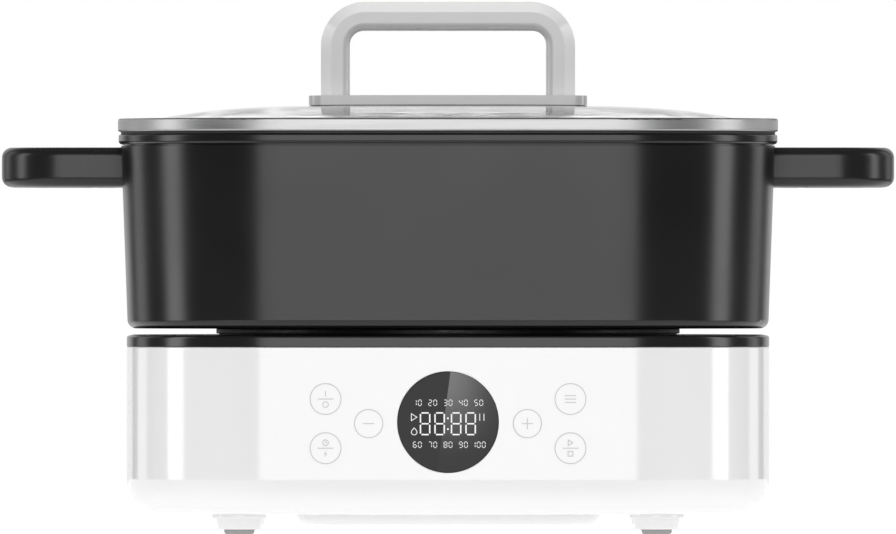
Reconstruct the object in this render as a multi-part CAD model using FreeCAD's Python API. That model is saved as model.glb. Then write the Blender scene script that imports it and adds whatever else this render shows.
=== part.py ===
import FreeCAD, Part
import math
import os

from FreeCAD import Vector

# Electric hot pot: a square heating base, a lift-off pot and a lift-off glass lid.
# The origin is on the floor below the middle. +X is to the right, -Y is the front with the
# display, +Z is up. All lengths are in millimetres.

# Stack of heights, from the floor up
pad_height = 2.5
foot_height = 7.0
housing_height = 74.3
top_plate_thickness = 5.1
plate_seal_thickness = 0.6
heating_flange_thickness = 2.5
pot_wall_height = 81.6
groove_height = 0.6
collar_height = 4.3
lid_seal_gap = 1.3
rim_height = 5.8
dome_rise = 6.8
handle_gasket_thickness = 0.5
handle_base_thickness = 4.3
arch_height = 42.0

# Half widths of the rounded square layers, measured at the middle of a side
pot_bottom_half = 143.0
pot_corner_radius = 68.0
pot_lean = 2.95
collar_overhang = 1.1
rim_overhang = 0.3
base_overhang = 0.4
side_handle_depth = 54.05
corner_core_half = pot_bottom_half - pot_corner_radius
pot_top_half = pot_bottom_half + pot_lean
collar_half = pot_top_half + collar_overhang
rim_half = collar_half + rim_overhang
base_half = pot_bottom_half + base_overhang
side_handle_reach = pot_top_half + side_handle_depth

# Small roundings and the reach of cutting bodies
fine_round = 0.3
small_round = 0.4
overshoot = 1.0
everywhere = 2 * side_handle_reach

# Lid
rim_sheet = 0.6
rim_lip_width = 14.35
rim_lip_half = rim_half - rim_lip_width
rim_top_radius = 1.0
rim_bottom_radius = 0.8
rim_hem_width = 3.85
glass_thickness = 4.0
glass_edge_clearance = 1.25
dome_power = 4.5
dome_squareness = 5.0
dome_edge_gap = 0.1
dome_grid_margin = 17.0
dome_grid_count = 10
seal_recess = 1.35
seal_lip_depth = 3.0
seal_lip_width = 1.8
seal_hem_clearance = 0.3
lid_seat_clearance = 0.6
arch_width = 114.2
arch_bar = 13.0
arch_depth = 28.0
arch_outer_radius = 20.0
arch_inner_radius = 6.3
arch_bevel = 4.7
arch_inner_fillet = 3.5
handle_base_width = 125.0
handle_base_depth = 40.0
handle_base_radius = 6.0
handle_gasket_inset = 1.0
lid_screw_length = 24.0
lid_screw_radius = 2.0
retainer_radius = 8.0
retainer_thickness = 3.0
vent_from_middle = 60.0
vent_bore_radius = 2.0
vent_tube_radius = 3.4
vent_flange_radius = 6.0
vent_flange_thickness = 0.8
vent_foot_inset = 1.0

# Pot
pot_wall = 3.0
pot_floor = 4.0
pot_edge_radius = 4.0
pot_inner_radius = 12.0
groove_depth = 1.2
collar_top_radius = 0.8
collar_bottom_radius = 1.4
side_handle_height = 17.7
side_handle_drop = 0.7
side_handle_width = 120.0
side_handle_bar = 16.0
side_handle_foot = 8.0
side_handle_corner = 27.0
side_handle_inner_corner = 14.0
side_handle_foot_corner = 5.0
side_handle_edge_radius = 4.5
bracket_thickness = 2.0
bracket_height = 11.0
bracket_overhang = 2.0
lug_length = 22.0
lug_width = 9.0
lug_thickness = 4.0
lug_screw_from_wall = 14.0
bracket_clearance = 0.3
handle_screw_radius = 2.0
handle_screw_length = 10.0
handle_screw_recess = 0.7

# Heating plate, its seal and its shield
heating_plate_radius = 104.2
heating_hub_radius = 84.0
heating_hub_depth = 9.5
heating_edge_radius = 0.8
hub_edge_radius = 1.0
heating_hole_radius = 86.0
plate_seal_inner_radius = 88.0
plate_seal_inset = 1.2
plate_groove_radii = (28.0, 46.0, 64.0, 82.0)
plate_groove_width = 1.2
plate_groove_depth = 0.5
element_radius = 4.0
element_fit_clearance = 0.1
element_loop_radius = 60.0
element_gap_degrees = 24.0
terminal_radius = 3.2
terminal_length = 22.0
terminal_hole_clearance = 2.0
stud_radius = 2.5
stud_circle_radius = 74.0
stud_length = 20.0
stud_count = 3
shield_sheet = 0.8
shield_radius = 88.0
shield_depth = 17.8
shield_flange_radius = 102.0
shield_bend_radius = 1.2
shield_flange_bend = 0.5
shield_bore_clearance = 1.0
nut_flats = 8.0
nut_height = 4.0
fuse_radius = 2.0
fuse_length = 11.0
fuse_from_middle = 36.0
fuse_clip_width = 6.0
fuse_clip_sheet = 0.8
fuse_clip_span = 18.0

# Temperature sensor
sensor_radius = 7.5
sensor_flange_radius = 8.5
sensor_flange_thickness = 2.5
sensor_wall = 1.2
sensor_top_thickness = 1.5
sensor_edge_radius = 1.0
sensor_travel = 2.0
sensor_running_clearance = 0.08
guide_wall = 1.8
guide_floor = 2.2
guide_flange_radius = 13.0
guide_flange_thickness = 1.4
guide_top_recess = 0.8
guide_hole_radius = 3.0
guide_fit_clearance = 0.1
thermistor_radius = 1.2
thermistor_length = 5.0
sensor_coil_radius = 4.6
sensor_coil_turns = 7
sensor_wire_radius = 0.35

# Base shells
housing_wall = 2.6
housing_bottom_radius = 15.5
housing_top_radius = 0.5
housing_opening_half = 50.0
housing_opening_radius = 15.0
top_plate_edge_radius = 1.2
top_plate_skirt = 2.0
top_plate_skirt_depth = 6.0
shell_clearance = 0.4
post_from_side = 31.4
post_x = base_half - post_from_side
post_y = 75.0
post_radius = 6.5
post_top_above_floor = 28.0
post_shoulder = 5.0
plate_boss_radius = 5.0
plate_screw_length = 22.0
cover_half = 67.9
cover_corner_radius = 25.9
cover_height = 5.5
cover_wall = 2.4
cover_edge_radius = 4.5
cover_screw_from_middle = 53.0
cover_screw_length = 14.0
boss_height = 10.0
boss_radius = 5.0
boss_end_thickness = 1.0
vent_slot_count = 7
vent_slot_pitch = 8.0
vent_slot_width = 3.0
vent_slot_length = 40.0
case_screw_radius = 2.0
thread_clearance = 0.05
screw_hole_clearance = 0.3
screw_head_clearance = 0.5
screw_tip_room = 1.0

# Feet
foot_from_side = 50.4
foot_from_middle = base_half - foot_from_side
foot_flange_radius = 12.1
foot_flange_height = 2.1
foot_top_radius = 10.35
foot_tip_radius = 9.6
foot_tip_round = 0.8
foot_flange_round = 0.6
foot_screw_length = 12.0
pad_radius = 6.75
pad_edge_radius = 1.8
pad_plug_height = 0.8
pad_plug_gap = 0.1

# Display and touch keys on the front wall
panel_height = 50.6
window_radius = 22.5
window_thickness = 2.0
window_clearance = 0.15
window_ledge = 2.0
display_width = 32.4
display_height = 22.4
display_depth = 7.0
digit_width = 4.4
digit_height = 9.8
digit_well_depth = 0.8
digit_middles = (-10.0, -3.7, 3.7, 10.0)
display_frame_wall = 1.4
display_flange_radius = 24.0
display_flange_thickness = 1.2
display_clearance = 0.3
board_gap = 8.8
board_thickness = 1.6
board_corner_radius = 2.0
control_board_width = 142.0
control_board_height = 38.5
control_boss_from_side = 4.0
control_boss_from_edge = 4.75
control_boss_x = control_board_width / 2 - control_boss_from_side
control_boss_z = control_board_height / 2 - control_boss_from_edge
control_boss_radius = 3.5
board_screw_radius = 1.5
board_screw_length = 6.0
board_screw_tip_room = 0.5
touch_outer_from_side = 16.6
touch_outer_x = control_board_width / 2 - touch_outer_from_side
touch_outer_z = 10.9
touch_inner_x = 35.2
touch_inner_z = -0.7
touch_coil_radius = 4.0
touch_coil_turns = 4
touch_wire_radius = 0.35
ribbon_width = 16.0
ribbon_thickness = 0.9
ribbon_reach = 24.0
ribbon_bend = 8.0
header_width = 20.0
header_size = 6.0

# Power board, standing on the bottom cover
power_board_width = 92.0
power_board_depth = 84.0
standoff_from_edge = 6.0
standoff_x = power_board_width / 2 - standoff_from_edge
standoff_y = power_board_depth / 2 - standoff_from_edge
standoff_height = 13.6
standoff_radius = 3.5
transformer_x = -22.0
transformer_y = -6.0
transformer_core_width = 30.0
transformer_core_depth = 12.0
transformer_core_height = 25.0
winding_width = 20.0
winding_depth = 24.0
winding_height = 18.0
winding_rise = 2.0
winding_round = 4.0
relay_x = 24.0
relay_y = 8.0
relay_width = 19.0
relay_depth = 15.5
relay_height = 15.5
relay_round = 0.8
capacitor_x = 24.0
capacitor_y = -14.0
capacitor_width = 26.0
capacitor_depth = 10.0
capacitor_height = 17.0
capacitor_round = 1.2
terminal_block_width = 52.0
terminal_block_depth = 10.0
terminal_block_height = 12.0
terminal_block_from_edge = 2.0
terminal_count = 4
terminal_pitch = 12.0
terminal_hole_radius = 2.4
terminal_hole_depth = 2.0
terminal_hole_from_front = 3.0

# Mains inlet in the back wall
inlet_height = 46.0
inlet_width = 27.4
inlet_body_height = 19.8
inlet_depth = 24.0
inlet_flange_width = 50.0
inlet_flange_height = 24.0
inlet_flange_thickness = 2.0
inlet_corner_radius = 2.5
inlet_socket_width = 24.0
inlet_socket_height = 16.4
inlet_socket_depth = 17.0
inlet_socket_bevel = 5.0
inlet_socket_round = 0.6
inlet_screw_from_middle = 20.0
inlet_screw_length = 7.0
inlet_clearance = 0.3
pin_spacing = 7.0
pin_offset_z = 2.0
pin_width = 2.0
pin_height = 4.0
pin_reach = 14.0
pin_tail = 6.0
pin_clearance = 0.05
pin_bevel = 0.6
lead_radius = 1.4
inlet_lead_straight = 20.0
block_lead_straight = 28.0
element_lead_straight = 10.0
terminal_lead_straight = 9.0
sensor_lead_radius = 0.6
sensor_lead_gap = 0.3
sensor_lead_drop = 10.0
sensor_lead_straight = 16.0
sensor_lead_landing = 18.0

# Heights worked out from the stack
foot_bottom = pad_height
housing_bottom = foot_bottom + foot_height
housing_floor_top = housing_bottom + housing_wall
housing_top = housing_bottom + housing_height
top_plate_top = housing_top + top_plate_thickness
plate_flange_bottom = top_plate_top + plate_seal_thickness
heating_top = plate_flange_bottom + heating_flange_thickness
hub_bottom = plate_flange_bottom - heating_hub_depth
pot_bottom = heating_top
pot_wall_top = pot_bottom + pot_wall_height
collar_bottom = pot_wall_top + groove_height
collar_top = collar_bottom + collar_height
rim_bottom = collar_top + lid_seal_gap
rim_top = rim_bottom + rim_height
glass_edge_top = rim_top - rim_sheet
glass_edge_bottom = glass_edge_top - glass_thickness
handle_base_top = handle_gasket_thickness + handle_base_thickness
arch_top = glass_edge_top + dome_rise + handle_base_top + arch_height
cover_bottom = housing_bottom - cover_height
shield_bottom = housing_top - shield_depth
front_face = -base_half
front_inner = front_face + housing_wall
board_front = front_inner + board_gap
board_back = board_front + board_thickness
power_board_bottom = cover_bottom + cover_wall + standoff_height
power_board_top = power_board_bottom + board_thickness
terminal_block_top = power_board_top + terminal_block_height
post_top = housing_floor_top + post_top_above_floor
side_handle_top = pot_wall_top - side_handle_drop
side_handle_bottom = side_handle_top - side_handle_height
bracket_middle = side_handle_bottom + side_handle_height / 2
leg_middle = side_handle_width / 2 - side_handle_bar / 2
arch_leg_middle = arch_width / 2 - arch_bar / 2


# Ways to place a drawn point in space

def in_plan(point):
    return Vector(point.x, point.y, 0)


def in_front_view(point):
    return Vector(point.x, 0, point.y)


def in_side_view(point):
    return Vector(0, point.x, point.y)


# Basic solids

def rounded_wire(corners, place):
    """A closed wire through corners (a, b, radius), with a tangent arc at each corner."""
    count = len(corners)
    points = [Vector(a, b, 0) for a, b, radius in corners]
    arcs = []
    for i in range(count):
        radius = corners[i][2]
        back = (points[i - 1] - points[i]).normalize()
        ahead = (points[(i + 1) % count] - points[i]).normalize()
        half_angle = back.getAngle(ahead) / 2
        reach = radius / math.tan(half_angle)
        bisector = (back + ahead).normalize() if radius > 0 else Vector(0, 0, 0)
        middle = points[i] + bisector * (radius / math.sin(half_angle) - radius)
        arcs.append((points[i] + back * reach, middle, points[i] + ahead * reach))
    edges = []
    for i in range(count):
        start, middle, end = arcs[i]
        following = arcs[(i + 1) % count][0]
        if corners[i][2] > 0:
            edges.append(Part.Arc(place(start), place(middle), place(end)).toShape())
        if end.distanceToPoint(following) > 1e-6:
            edges.append(Part.LineSegment(place(end), place(following)).toShape())
    return Part.Wire(edges)


def plan_prism(corners, low, high):
    """The plan outline, standing from one height to another."""
    face = Part.Face(rounded_wire(corners, in_plan))
    face.translate(Vector(0, 0, low))
    return face.extrude(Vector(0, 0, high - low))


def front_prism(corners, front, back):
    """The outline in front view, reaching from one y to another."""
    face = Part.Face(rounded_wire(corners, in_front_view))
    face.translate(Vector(0, front, 0))
    return face.extrude(Vector(0, back - front, 0))


def side_prism(corners, left, right):
    """The outline in side view (y, z), reaching from one x to another."""
    face = Part.Face(rounded_wire(corners, in_side_view))
    face.translate(Vector(left, 0, 0))
    return face.extrude(Vector(right - left, 0, 0))


def turned(corners, x=0.0, y=0.0):
    """The section (radius, height, fillet) turned about an upright axis."""
    face = Part.Face(rounded_wire(corners, in_front_view))
    solid = face.revolve(Vector(0, 0, 0), Vector(0, 0, 1), 360)
    solid.translate(Vector(x, y, 0))
    return solid


def box(left, right, front, back, low, high):
    return Part.makeBox(right - left, back - front, high - low, Vector(left, front, low))


def upright_cylinder(radius, low, high, x=0.0, y=0.0):
    return Part.makeCylinder(radius, high - low, Vector(x, y, low))


def deep_cylinder(radius, front, back, x, z):
    """A cylinder along Y."""
    return Part.makeCylinder(radius, back - front, Vector(x, front, z), Vector(0, 1, 0))


def rectangle(half_width, half_depth, radius):
    return [
        (-half_width, -half_depth, radius),
        (half_width, -half_depth, radius),
        (half_width, half_depth, radius),
        (-half_width, half_depth, radius),
    ]


def square_prism(half, low, high):
    """A rounded square that shares the corner centres of all the layers."""
    return plan_prism(rectangle(half, half, half - corner_core_half), low, high)


def square_ring(section, core=corner_core_half):
    """The section (distance from the middle, height, fillet) carried round a rounded square."""
    face = Part.Face(rounded_wire(section, in_front_view))
    side = face.translated(Vector(0, -core, 0)).extrude(Vector(0, 2 * core, 0))
    start = face.translated(Vector(0, core, 0))
    corner = start.revolve(Vector(core, core, 0), Vector(0, 0, 1), 90)
    pieces = []
    for quarter in range(4):
        for piece in (side, corner):
            pieces.append(piece.rotated(Vector(0, 0, 0), Vector(0, 0, 1), 90 * quarter))
    return pieces[0].multiFuse(pieces[1:]).removeSplitter()


def square_solid(section, core=corner_core_half):
    """A square ring whose section starts at the core, filled in the middle."""
    heights = [height for distance, height, radius in section if distance == core]
    middle = box(-core, core, -core, core, min(heights), max(heights))
    return square_ring(section, core).fuse(middle).removeSplitter()


def edges_at_depth(solid, y):
    return [edge for edge in solid.Edges if all(abs(vertex.Y - y) < 1e-6 for vertex in edge.Vertexes)]


def joined(shapes):
    return shapes[0].multiFuse(shapes[1:]).removeSplitter()


def mirrored_left(shape):
    return shape.mirror(Vector(0, 0, 0), Vector(1, 0, 0))


def four_corners(x, y):
    return [(x, y), (-x, y), (-x, -y), (x, -y)]


def placed(shape, places):
    """Copies of a shape, one at each place."""
    return Part.makeCompound([shape.translated(Vector(*place)) for place in places])


def screw(radius, length):
    """A pan head screw: the head hangs below zero and the shank stands above it."""
    head_radius = screw_head_radius(radius)
    head_height = screw_head_height(radius)
    head = turned([
        (0, -head_height, 0),
        (head_radius, -head_height, head_height * 0.5),
        (head_radius, 0, 0),
        (0, 0, 0),
    ])
    tip = radius * 0.4
    shank = turned([
        (0, -head_height / 4, 0),
        (radius, -head_height / 4, 0),
        (radius, length - tip, 0),
        (radius - tip, length, 0),
        (0, length, 0),
    ])
    slot_half = radius * 0.25
    slot_reach = radius * 1.1
    slot_low = -head_height - 1
    slot_high = -head_height / 2
    across = box(-slot_reach, slot_reach, -slot_half, slot_half, slot_low, slot_high)
    along = box(-slot_half, slot_half, -slot_reach, slot_reach, slot_low, slot_high)
    return joined([head, shank]).cut(across).cut(along)


def screw_head_radius(radius):
    return radius * 1.9


def screw_head_height(radius):
    return radius * 1.1


def coil(radius, wire_radius, low, high, turns):
    """A round wire wound upwards on quarter-turn arcs."""
    steps = turns * 4
    first = low + wire_radius
    rise = (high - low - 2 * wire_radius) / steps

    def on_helix(step):
        angle = step * math.pi / 2
        return Vector(radius * math.cos(angle), radius * math.sin(angle), first + rise * step)

    arcs = []
    for step in range(steps):
        arc = Part.Arc(on_helix(step), on_helix(step + 0.5), on_helix(step + 1))
        arcs.append(arc.toShape())
    path = Part.Wire(arcs)
    direction = arcs[0].tangentAt(arcs[0].FirstParameter)
    section = Part.Wire(Part.makeCircle(wire_radius, on_helix(0), direction))
    return path.makePipeShell([section], True, False)


def lead(points, radius):
    """A round cable along straight runs, joined by arcs as large as the runs allow."""
    route = [Vector(*point) for point in points]
    edges = []
    run_start = route[0]
    for i in range(1, len(route) - 1):
        back = route[i - 1] - route[i]
        ahead = route[i + 1] - route[i]
        reach = 0.45 * min(back.Length, ahead.Length)
        half_angle = back.getAngle(ahead) / 2
        back.normalize()
        ahead.normalize()
        bisector = (back + ahead).normalize()
        bend = reach * math.tan(half_angle)
        middle = route[i] + bisector * (bend / math.sin(half_angle) - bend)
        arc_start = route[i] + back * reach
        arc_end = route[i] + ahead * reach
        edges.append(Part.LineSegment(run_start, arc_start).toShape())
        edges.append(Part.Arc(arc_start, middle, arc_end).toShape())
        run_start = arc_end
    edges.append(Part.LineSegment(run_start, route[-1]).toShape())
    path = Part.Wire(edges)
    section = Part.Wire(Part.makeCircle(radius, route[0], route[1] - route[0]))
    return path.makePipeShell([section], True, False)


# Lid

def dome_height(x, y):
    """Height of the glass dome: level near the middle, and falling away to a rounded square edge."""
    across = (abs(x) / rim_lip_half) ** dome_squareness
    along = (abs(y) / rim_lip_half) ** dome_squareness
    distance = (across + along) ** (1 / dome_squareness)
    return glass_edge_top + dome_rise * (1 - distance ** dome_power)


def make_dome_space():
    """The space below the top of the glass dome."""
    step = (rim_lip_half + dome_grid_margin) / dome_grid_count
    places = [step * i for i in range(-dome_grid_count, dome_grid_count + 1)]
    grid = [[Vector(x, y, dome_height(x, y)) for y in places] for x in places]
    surface = Part.BSplineSurface()
    surface.interpolate(grid)
    return surface.toShape().extrude(Vector(0, 0, -everywhere))


dome_space = make_dome_space()


def below_dome(offset):
    return dome_space.translated(Vector(0, 0, offset))


def dome_layer(solid, low, high):
    """The slice of a solid that lies between two offsets from the top of the glass."""
    return solid.common(below_dome(high)).cut(below_dome(low))


def lid_screw_places():
    return [(-arch_leg_middle, 0.0), (arch_leg_middle, 0.0)]


def lid_screw_holes(radius):
    low = glass_edge_bottom - everywhere / 2
    return Part.makeCompound([
        upright_cylinder(radius, low, low + everywhere, x, y) for x, y in lid_screw_places()
    ])


def lid_glass():
    dome_half = rim_lip_half - dome_edge_gap
    tall = glass_edge_top + 2 * dome_rise
    dome = square_prism(dome_half, glass_edge_bottom, tall).common(below_dome(0))
    flange = square_prism(rim_half - rim_sheet - glass_edge_clearance, glass_edge_bottom, glass_edge_top)
    hollow = square_prism(dome_half, glass_edge_bottom - overshoot, tall)
    hollow = hollow.common(below_dome(-glass_thickness))
    glass = dome.fuse(flange).cut(hollow)
    glass = glass.cut(lid_screw_holes(lid_screw_radius + 2 * screw_hole_clearance))
    vent_hole_radius = vent_tube_radius + screw_hole_clearance
    return glass.cut(upright_cylinder(vent_hole_radius, glass_edge_bottom, tall, 0, vent_from_middle))


def lid_rim():
    inner_top = rim_top - rim_sheet
    inner_bottom = rim_bottom + rim_sheet
    inner_half = rim_half - rim_sheet
    hem_half = rim_half - rim_hem_width
    return square_ring([
        (rim_lip_half, rim_top, fine_round),
        (rim_half, rim_top, rim_top_radius),
        (rim_half, rim_bottom, rim_bottom_radius),
        (hem_half, rim_bottom, 0),
        (hem_half, inner_bottom, 0),
        (inner_half, inner_bottom, rim_bottom_radius - rim_sheet),
        (inner_half, inner_top, rim_top_radius - rim_sheet),
        (rim_lip_half, inner_top, 0),
    ])


def lid_rim_seal():
    outer = rim_half - seal_recess
    lip_outer = pot_top_half - pot_wall - lid_seat_clearance
    lip_inner = lip_outer - seal_lip_width
    neck = rim_half - rim_hem_width - seal_hem_clearance
    return square_ring([
        (lip_inner, collar_top - seal_lip_depth, small_round),
        (lip_outer, collar_top - seal_lip_depth, small_round),
        (lip_outer, collar_top, 0),
        (outer, collar_top, fine_round),
        (outer, rim_bottom, fine_round),
        (neck, rim_bottom, 0),
        (neck, glass_edge_bottom, 0),
        (lip_inner, glass_edge_bottom, small_round),
    ])


def arch_edges(solid, outer):
    """The edges round the outside, or round the opening, on the front and the back of the arch."""
    half = arch_width / 2 if outer else arch_width / 2 - arch_bar
    top = arch_top if outer else arch_top - arch_bar
    radius = arch_outer_radius if outer else arch_inner_radius
    found = []
    for edge in solid.Edges:
        middle = edge.valueAt((edge.FirstParameter + edge.LastParameter) / 2)
        on_face = all(abs(abs(vertex.Y) - arch_depth / 2) < 1e-6 for vertex in edge.Vertexes)
        on_side = abs(abs(middle.x) - half) < 1e-6
        on_top = abs(middle.z - top) < 1e-6
        on_corner = isinstance(edge.Curve, Part.Circle) and abs(edge.Curve.Radius - radius) < 1e-6
        if on_face and (on_side or on_top or on_corner):
            found.append(edge)
    return found


def lid_handle():
    half = arch_width / 2
    inner_half = half - arch_bar
    low = glass_edge_top
    outline = [
        (-half, low, 0),
        (-half, arch_top, arch_outer_radius),
        (half, arch_top, arch_outer_radius),
        (half, low, 0),
        (inner_half, low, 0),
        (inner_half, arch_top - arch_bar, arch_inner_radius),
        (-inner_half, arch_top - arch_bar, arch_inner_radius),
        (-inner_half, low, 0),
    ]
    arch = front_prism(outline, -arch_depth / 2, arch_depth / 2)
    arch = arch.makeChamfer(arch_bevel, arch_edges(arch, True))
    arch = arch.makeFillet(arch_inner_fillet, arch_edges(arch, False))
    arch = arch.cut(below_dome(handle_base_top))
    hole_top = glass_edge_bottom + lid_screw_length + dome_rise
    for x, y in lid_screw_places():
        hole = upright_cylinder(lid_screw_radius + thread_clearance, low, hole_top, x, y)
        arch = arch.cut(hole)
    return arch


def lid_handle_base():
    outline = rectangle(handle_base_width / 2, handle_base_depth / 2, handle_base_radius)
    block = plan_prism(outline, glass_edge_bottom, glass_edge_top + 2 * dome_rise)
    plate = dome_layer(block, handle_gasket_thickness, handle_base_top)
    return plate.cut(lid_screw_holes(lid_screw_radius + screw_hole_clearance))


def lid_handle_gasket():
    outline = rectangle(
        handle_base_width / 2 - handle_gasket_inset,
        handle_base_depth / 2 - handle_gasket_inset,
        handle_base_radius - handle_gasket_inset,
    )
    block = plan_prism(outline, glass_edge_bottom, glass_edge_top + 2 * dome_rise)
    gasket = dome_layer(block, 0, handle_gasket_thickness)
    return gasket.cut(lid_screw_holes(lid_screw_radius + screw_hole_clearance))


def retainer_bottom():
    return dome_height(arch_leg_middle, 0) - glass_thickness - retainer_thickness


def lid_handle_retainers():
    cups = []
    for x, y in lid_screw_places():
        cup = upright_cylinder(retainer_radius, retainer_bottom(), glass_edge_top + dome_rise, x, y)
        cups.append(cup.common(below_dome(-glass_thickness)))
    return Part.makeCompound(cups).cut(lid_screw_holes(lid_screw_radius + screw_hole_clearance))


def lid_handle_screws():
    one = screw(lid_screw_radius, lid_screw_length)
    return placed(one, [(x, y, retainer_bottom()) for x, y in lid_screw_places()])


def lid_vent_eyelet():
    low = glass_edge_bottom
    high = glass_edge_top + 2 * dome_rise
    flange = upright_cylinder(vent_flange_radius, low, high, 0, vent_from_middle)
    foot = upright_cylinder(vent_flange_radius - vent_foot_inset, low, high, 0, vent_from_middle)
    tube = upright_cylinder(vent_tube_radius, low, high, 0, vent_from_middle)
    eyelet = joined([
        dome_layer(flange, 0, vent_flange_thickness),
        dome_layer(foot, -glass_thickness - vent_flange_thickness, -glass_thickness),
        dome_layer(tube, -glass_thickness - vent_flange_thickness, vent_flange_thickness),
    ])
    return eyelet.cut(upright_cylinder(vent_bore_radius, low, high, 0, vent_from_middle))


# Pot

def pot_wall_at(height):
    """Distance of the outer wall from the middle, on the sloping side."""
    share = (height - pot_bottom) / pot_wall_height
    return pot_bottom_half + share * (pot_top_half - pot_bottom_half)


def pot_body():
    groove_half = pot_top_half - groove_depth
    mouth_half = pot_top_half - pot_wall
    inner_bottom = pot_bottom + pot_floor
    return square_solid([
        (corner_core_half, pot_bottom, 0),
        (pot_bottom_half, pot_bottom, pot_edge_radius),
        (pot_top_half, pot_wall_top, fine_round),
        (groove_half, pot_wall_top, 0),
        (groove_half, collar_bottom, 0),
        (collar_half, collar_bottom, collar_bottom_radius),
        (collar_half, collar_top, collar_top_radius),
        (mouth_half, collar_top, collar_top_radius),
        (pot_wall_at(inner_bottom) - pot_wall, inner_bottom, pot_inner_radius),
        (corner_core_half, inner_bottom, 0),
    ])


def wall_slab(near, far, low, high, left, right):
    """A slab along the right side of the pot, between two distances from its sloping wall."""
    outline = [
        (pot_wall_at(low) + near, low, 0),
        (pot_wall_at(low) + far, low, 0),
        (pot_wall_at(high) + far, high, 0),
        (pot_wall_at(high) + near, high, 0),
    ]
    return front_prism(outline, left, right)


def bracket(clearance):
    """The steel bracket on the right wall, or with a clearance, the room that it needs."""
    low = bracket_middle - bracket_height / 2 - clearance
    high = bracket_middle + bracket_height / 2 + clearance
    reach = leg_middle + lug_width / 2 + bracket_overhang + clearance
    pieces = [wall_slab(0, bracket_thickness + clearance, low, high, -reach, reach)]
    lug_low = bracket_middle - lug_thickness / 2 - clearance
    lug_high = bracket_middle + lug_thickness / 2 + clearance
    for middle in (-leg_middle, leg_middle):
        front = middle - lug_width / 2 - clearance
        back = middle + lug_width / 2 + clearance
        pieces.append(wall_slab(0, lug_length + clearance, lug_low, lug_high, front, back))
    return joined(pieces)


def handle_screw_x():
    return pot_wall_at(bracket_middle) + lug_screw_from_wall


def handle_screw_seat():
    return side_handle_bottom + handle_screw_recess + screw_head_height(handle_screw_radius)


def pot_handle_bracket_right():
    shape = bracket(0)
    for middle in (-leg_middle, leg_middle):
        hole_radius = handle_screw_radius + thread_clearance
        shape = shape.cut(upright_cylinder(hole_radius, 0, everywhere, handle_screw_x(), middle))
    return shape


def loop_edges(solid):
    """The upper and lower edges of the loop, without those at the pot's wall."""
    found = []
    for edge in solid.Edges:
        heights = [vertex.Z for vertex in edge.Vertexes]
        level = abs(heights[0] - heights[-1]) < 1e-6
        middle = edge.valueAt((edge.FirstParameter + edge.LastParameter) / 2)
        if level and middle.x > corner_core_half + overshoot:
            found.append(edge)
    return found


def pot_handle_right():
    half = side_handle_width / 2
    outer = plan_prism([
        (corner_core_half, -half, 0),
        (side_handle_reach, -half, side_handle_corner),
        (side_handle_reach, half, side_handle_corner),
        (corner_core_half, half, 0),
    ], side_handle_bottom, side_handle_top)
    inner_half = half - side_handle_bar
    inner_left = pot_wall_at(bracket_middle) + side_handle_foot
    inner_right = side_handle_reach - side_handle_bar
    opening = plan_prism([
        (inner_left, -inner_half, side_handle_foot_corner),
        (inner_right, -inner_half, side_handle_inner_corner),
        (inner_right, inner_half, side_handle_inner_corner),
        (inner_left, inner_half, side_handle_foot_corner),
    ], side_handle_bottom, side_handle_top)
    loop = outer.cut(opening)
    loop = loop.makeFillet(side_handle_edge_radius, loop_edges(loop))
    low = side_handle_bottom - side_handle_height
    high = side_handle_top + side_handle_height
    behind_wall = wall_slab(-everywhere, 0, low, high, -half - overshoot, half + overshoot)
    loop = loop.cut(behind_wall).cut(bracket(bracket_clearance))
    seat = handle_screw_seat()
    head_radius = screw_head_radius(handle_screw_radius) + screw_head_clearance
    shank_radius = handle_screw_radius + screw_hole_clearance
    shank_top = seat + handle_screw_length + screw_tip_room
    for middle in (-leg_middle, leg_middle):
        x = handle_screw_x()
        loop = loop.cut(upright_cylinder(head_radius, side_handle_bottom - overshoot, seat, x, middle))
        loop = loop.cut(upright_cylinder(shank_radius, side_handle_bottom, shank_top, x, middle))
    return loop


def pot_handle_screws():
    one = screw(handle_screw_radius, handle_screw_length)
    seat = handle_screw_seat()
    return placed(one, [(x, y, seat) for x, y in four_corners(handle_screw_x(), leg_middle)])


# Heating plate and what hangs below it

def stud_places():
    places = []
    for i in range(stud_count):
        angle = math.radians(270 + 360 / stud_count * i)
        places.append((stud_circle_radius * math.cos(angle), stud_circle_radius * math.sin(angle)))
    return places


def guide_outer_radius():
    return sensor_radius + sensor_running_clearance + guide_wall


def heating_plate():
    bore = guide_outer_radius() + guide_fit_clearance
    plate = turned([
        (bore, hub_bottom, 0),
        (heating_hub_radius, hub_bottom, hub_edge_radius),
        (heating_hub_radius, plate_flange_bottom, 0),
        (heating_plate_radius, plate_flange_bottom, small_round),
        (heating_plate_radius, heating_top, heating_edge_radius),
        (bore, heating_top, small_round),
    ])
    groove_radius = element_radius + element_fit_clearance
    plate = plate.cut(Part.makeTorus(element_loop_radius, groove_radius, Vector(0, 0, hub_bottom)))
    groove_bottom = heating_top - plate_groove_depth
    for radius in plate_groove_radii:
        ring = upright_cylinder(radius + plate_groove_width / 2, groove_bottom, heating_top + overshoot)
        inside = upright_cylinder(radius - plate_groove_width / 2, 0, everywhere)
        plate = plate.cut(ring.cut(inside))
    pieces = [plate]
    for x, y in stud_places():
        pieces.append(upright_cylinder(stud_radius, hub_bottom - stud_length, hub_bottom + overshoot, x, y))
    return joined(pieces)


def heating_plate_seal():
    return turned([
        (plate_seal_inner_radius, top_plate_top, 0),
        (heating_plate_radius - plate_seal_inset, top_plate_top, 0),
        (heating_plate_radius - plate_seal_inset, plate_flange_bottom, 0),
        (plate_seal_inner_radius, plate_flange_bottom, 0),
    ])


def terminal_places():
    places = []
    for side in (-1, 1):
        angle = math.radians(90 + side * element_gap_degrees / 2)
        places.append((element_loop_radius * math.cos(angle), element_loop_radius * math.sin(angle)))
    return places


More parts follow.
